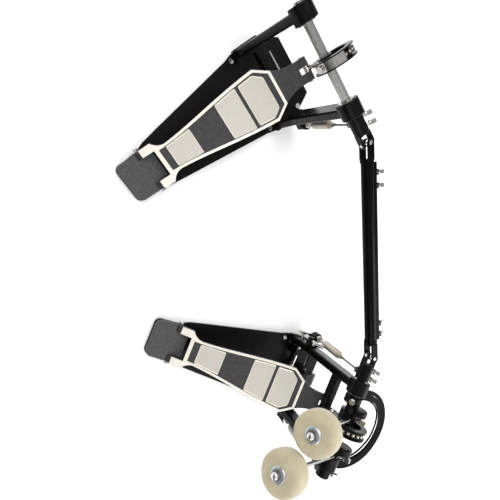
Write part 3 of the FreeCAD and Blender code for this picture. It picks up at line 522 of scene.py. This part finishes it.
def spring(name, place, x, stand, replaced):
    """A close-wound coil with an eye at each end, and the long hook that links it to the rocker."""
    low_box, high_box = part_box("main_springs")
    low_eye = from_axle((high_box[0], high_box[1] - LOW_EYE_IN, low_box[2] + LOW_EYE_IN))
    high_eye = from_axle((high_box[0], AXLE.y, high_box[2] - HIGH_EYE_IN))
    low_eye.x = high_eye.x = x
    run = high_eye - low_eye
    up = run.normalized()
    across = Vector((1, 0, 0))
    front = across.cross(up)
    turns = int((COIL_END - COIL_START) / (2 * WIRE_R))
    path = loop(low_eye, up, front, HOOK_R, 20, 340)
    steps = turns * 14
    for k in range(steps + 1):
        share = k / steps
        a = 2 * math.pi * turns * share
        taper = min(1.0, 0.3 + share * 9, 0.3 + (1 - share) * 9)
        at = low_eye + up * (COIL_START + (COIL_END - COIL_START) * share)
        path.append(at + (front * math.cos(a) + across * math.sin(a)) * COIL_R * taper)
    top_eye = low_eye + up * (COIL_END + 4.5 * MM)
    path += loop(top_eye, up, across, 3.0 * MM, 200, 330)
    wire = Build()
    wire.tube(moved(path, place), WIRE_R, 8)
    coil = wire.piece(name, "spring_steel", "spring_steel")
    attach(coil, stand)
    if replaced:
        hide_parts(replaced)

    hook_path = loop(top_eye + up * 2.4 * MM, up, front, 2.8 * MM, -20, -320)
    hook_path.append(top_eye + up * 9 * MM)
    hook_path.append(high_eye - up * 14 * MM)
    hook_path.append(high_eye - up * 8 * MM)
    hook_path += loop(high_eye, up, front, HOOK_R, 180, 330)
    hook = Build()
    hook.tube(moved(hook_path, place), HOOK_WIRE_R, 10)
    link = hook.piece(name + "_hook", "hook_steel", "spring_steel")
    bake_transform(link)


# ------------------------------------------------ bright borders of the treads
def islands(work):
    """The separate solids of a mesh, as lists of vertices."""
    left = set(work.verts)
    found = []
    while left:
        island, queue = [], [left.pop()]
        while queue:
            vertex = queue.pop()
            island.append(vertex)
            for edge in vertex.link_edges:
                other = edge.other_vert(vertex)
                if other in left:
                    left.remove(other)
                    queue.append(other)
        found.append(island)
    return found


def pad_beads(pedal):
    """A fine bright bead along each tread's border."""
    tilt = joint(pedal + "_footboard_tilt")
    across = -Vector(tilt["axis"]).normalized()
    node = frame["nodes"][pedal + "_traction_pads"]
    normal, best = None, 0
    for face in node.data.polygons:
        direction = (node.matrix_world.to_3x3() @ face.normal).normalized()
        if direction.z > 0.5 and face.area > best:
            normal, best = direction, face.area
    along = normal.cross(across)
    beads = Build()
    work = bmesh.new()
    work.from_mesh(node.data)
    work.transform(node.matrix_world)
    for island in islands(work):
        level = max(v.co.dot(normal) for v in island)
        top = [v.co for v in island if v.co.dot(normal) > level - 0.05 * MM]
        centre = sum(top, Vector()) / len(top)
        ring = sorted(top, key=lambda p: math.atan2((p - centre).dot(along), (p - centre).dot(across)))
        corners = []
        for p in ring:
            if not corners or (p - corners[-1]).length > 1 * MM:
                corners.append(p)
        if (corners[0] - corners[-1]).length < 1 * MM:
            corners.pop()
        corners = [p + (centre - p).normalized() * 0.9 * MM for p in corners]
        for a, b in zip(corners, corners[1:] + corners[:1]):
            beads.tube([a, a.lerp(b, 0.5), b], 0.6 * MM, 8)
    work.free()
    obj = beads.piece(pedal + "_tread_beads", "rim_bright", "tread_bright")
    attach(obj, pedal + "_footboard")


# ------------------------------------------------ carrying strap
BAND_HALF = 2.5 * MM       # half of the CAD strap's thickness
STRAND_STEPS = 90


def arc_through(a, b, c, share):
    """A point on the circle through three points of one plane."""
    ab, ac = b - a, c - a
    normal = ab.cross(ac)
    centre = a + (ac.length_squared * normal.cross(ab) + ab.length_squared * ac.cross(normal)) / (
        2 * normal.length_squared)
    first = a - centre
    axis = normal.normalized()
    total = first.angle(c - centre)
    if first.cross(c - centre).dot(axis) < 0:
        total = 2 * math.pi - total
    return centre + Matrix.Rotation(total * share, 3, axis) @ first


def ribbed_section(width, thickness, ribs):
    """Half-round ribs side by side: (across, up) points of a band's section."""
    points = []
    for side in (1, -1):
        for k in range(ribs):
            middle_at = side * width * (0.5 - (k + 0.5) / ribs)
            for step in range(5):
                a = math.pi * step / 4
                across = middle_at + side * math.cos(a) * width / ribs / 2
                points.append((across, side * (thickness * 0.32 + math.sin(a) * thickness * 0.18)))
    return points


def band_rings(path, section):
    """Places a section along a path that curves in a nearly level plane."""
    rings = []
    for i, p in enumerate(path):
        ahead = (path[min(i + 1, len(path) - 1)] - path[max(i - 1, 0)]).normalized()
        across = ahead.cross(UP).normalized()
        up = across.cross(ahead)
        rings.append([p + across * x + up * z for x, z in section])
    return rings


def strap():
    """Two ribbed bands side by side and two thin cords that stray a little."""
    low, high = (Vector(corner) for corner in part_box("carry_strap"))
    bands = Build()
    for k, inset in enumerate((3.6 * MM, 10.6 * MM)):
        lift = 0.5 * MM * (1 if k else -1)
        left = Vector((low.x + inset, low.y - 4 * MM, high.z - BAND_HALF))
        right = Vector((high.x - inset, left.y, left.z))
        path = strand_path(left, right, high.y - inset, low.z + BAND_HALF, lift, k)
        bands.ring_strip(band_rings(path, ribbed_section(6.4 * MM, 4.2 * MM, 3)), cap=True)
    obj = bands.piece("strap_bands", "strap_black", "strap_black")
    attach(obj, "main_stand")
    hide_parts("carry_strap")
    cords = Build()
    for k, inset in enumerate((15 * MM, 17.5 * MM)):
        lift = 1.5 * MM * (1 - 2 * k)
        left = Vector((low.x + inset, low.y - 3 * MM, high.z - BAND_HALF))
        right = Vector((high.x - inset - 2 * MM, left.y, left.z))
        path = strand_path(left, right, high.y - inset, low.z + BAND_HALF, lift, 9 + k, 3 * MM)
        cords.tube(path, 1.5 * MM, 10)
    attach(cords.piece("strap_cords", "strap_black", "strap_black"), "main_stand")


def strand_path(left, right, front, bottom, lift, seed, stray=0.6 * MM):
    """An arc from the left end to the right by way of the front, lifted and swayed a little."""
    tip = Vector(((left.x + right.x) / 2, front, bottom))
    path = []
    for k in range(STRAND_STEPS + 1):
        share = k / STRAND_STEPS
        p = arc_through(left, tip, right, share)
        sway = math.sin(math.pi * share)
        p += Vector((0, 0, lift + 0.8 * MM * sway * noise.noise(Vector((share * 5, seed * 3.1, 0)))))
        p += Vector((stray * sway * noise.noise(Vector((share * 4, seed * 7.7, 2))), 0, 0))
        path.append(p)
    return path


# ------------------------------------------------ making the pieces
cad_materials()
for hand in ("left", "right"):
    beater(hand)
chain("main", MAIN, "main_axle", 12)
chain("slave", SLAVE, "slave_axle", 6)
springs_low, springs_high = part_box("main_springs")
right_x = from_axle(springs_high).x - SPRING_SIDE
left_x = from_axle(springs_low).x + SPRING_SIDE
spring("main_spring_right", MAIN, right_x, "main_stand", "main_springs")
spring("main_spring_left", MAIN, left_x, "main_stand", None)
slave_x = (SLAVE.inverted() @ middle("slave_spring")).x
spring("slave_spring_coil", SLAVE, slave_x, "slave_stand", "slave_spring")
for pedal in ("main", "slave"):
    pad_beads(pedal)
strap()


# ------------------------------------------------ stage, light and camera
def stage():
    bpy.ops.mesh.primitive_plane_add(size=12, location=(0, 0, 0))
    floor = bpy.context.object
    floor.name = "floor"
    material, tree, shader = new_material("floor", (0.93, 0.93, 0.93), 0.9, 0.0)
    floor.data.materials.append(material)


def area_light(name, location, size, power):
    data = bpy.data.lights.new(name, "AREA")
    data.size = size
    data.energy = power
    obj = bpy.data.objects.new(name, data)
    obj.location = location
    aim = Vector((0, 0, 0.1)) - Vector(location)
    obj.rotation_euler = aim.to_track_quat("-Z", "Y").to_euler()
    bpy.context.scene.collection.objects.link(obj)


def lights():
    """A sky that is dark low down, so that bright metal shows contrast, and three lamps."""
    world = bpy.data.worlds.new("studio")
    world.use_nodes = True
    tree = world.node_tree
    where = tree.nodes.new("ShaderNodeTexCoord")
    parts = tree.nodes.new("ShaderNodeSeparateXYZ")
    tree.links.new(where.outputs["Generated"], parts.inputs["Vector"])
    level = spread(tree, parts.outputs["Z"], 0.15, 0.95, 0.12, 0.75)
    tree.nodes["Background"].inputs["Color"].default_value = (1, 1, 1, 1)
    tree.links.new(level, tree.nodes["Background"].inputs["Strength"])
    bpy.context.scene.world = world
    area_light("key", (-1.4, -1.0, 1.9), 2.4, 60)
    area_light("fill", (1.8, 0.6, 1.6), 2.2, 40)
    area_light("front", (0.2, 2.1, 1.2), 1.8, 30)


CAMERA_AT = MAIN @ Vector((-223.3 * MM, -498.0 * MM, 493.4 * MM))
AZIMUTH, ELEVATION, ROLL = -4.24, 64.45, 25.67
FOCAL_SHARE = 0.848                # focal length over the picture's width


def camera():
    azimuth, elevation, roll = (math.radians(v) for v in (AZIMUTH, ELEVATION, ROLL))
    back = Vector((math.sin(azimuth) * math.cos(elevation), -math.cos(azimuth) * math.cos(elevation),
                   math.sin(elevation)))
    right = (-back).cross(UP).normalized()
    up = right.cross(-back)
    # the picture is turned a quarter turn, so the object's up points to its right
    picture_down = right * math.cos(roll) + up * math.sin(roll)
    picture_right = up * math.cos(roll) - right * math.sin(roll)
    data = bpy.data.cameras.new("camera")
    data.sensor_width = 36
    data.lens = data.sensor_width * FOCAL_SHARE
    data.clip_start = 0.01
    obj = bpy.data.objects.new("camera", data)
    turn = Matrix((picture_right, -picture_down, back)).transposed().to_4x4()
    obj.matrix_world = Matrix.Translation(CAMERA_AT) @ turn
    bpy.context.scene.collection.objects.link(obj)
    bpy.context.scene.camera = obj


stage()
lights()
camera()
bpy.context.scene.view_settings.view_transform = "Standard"
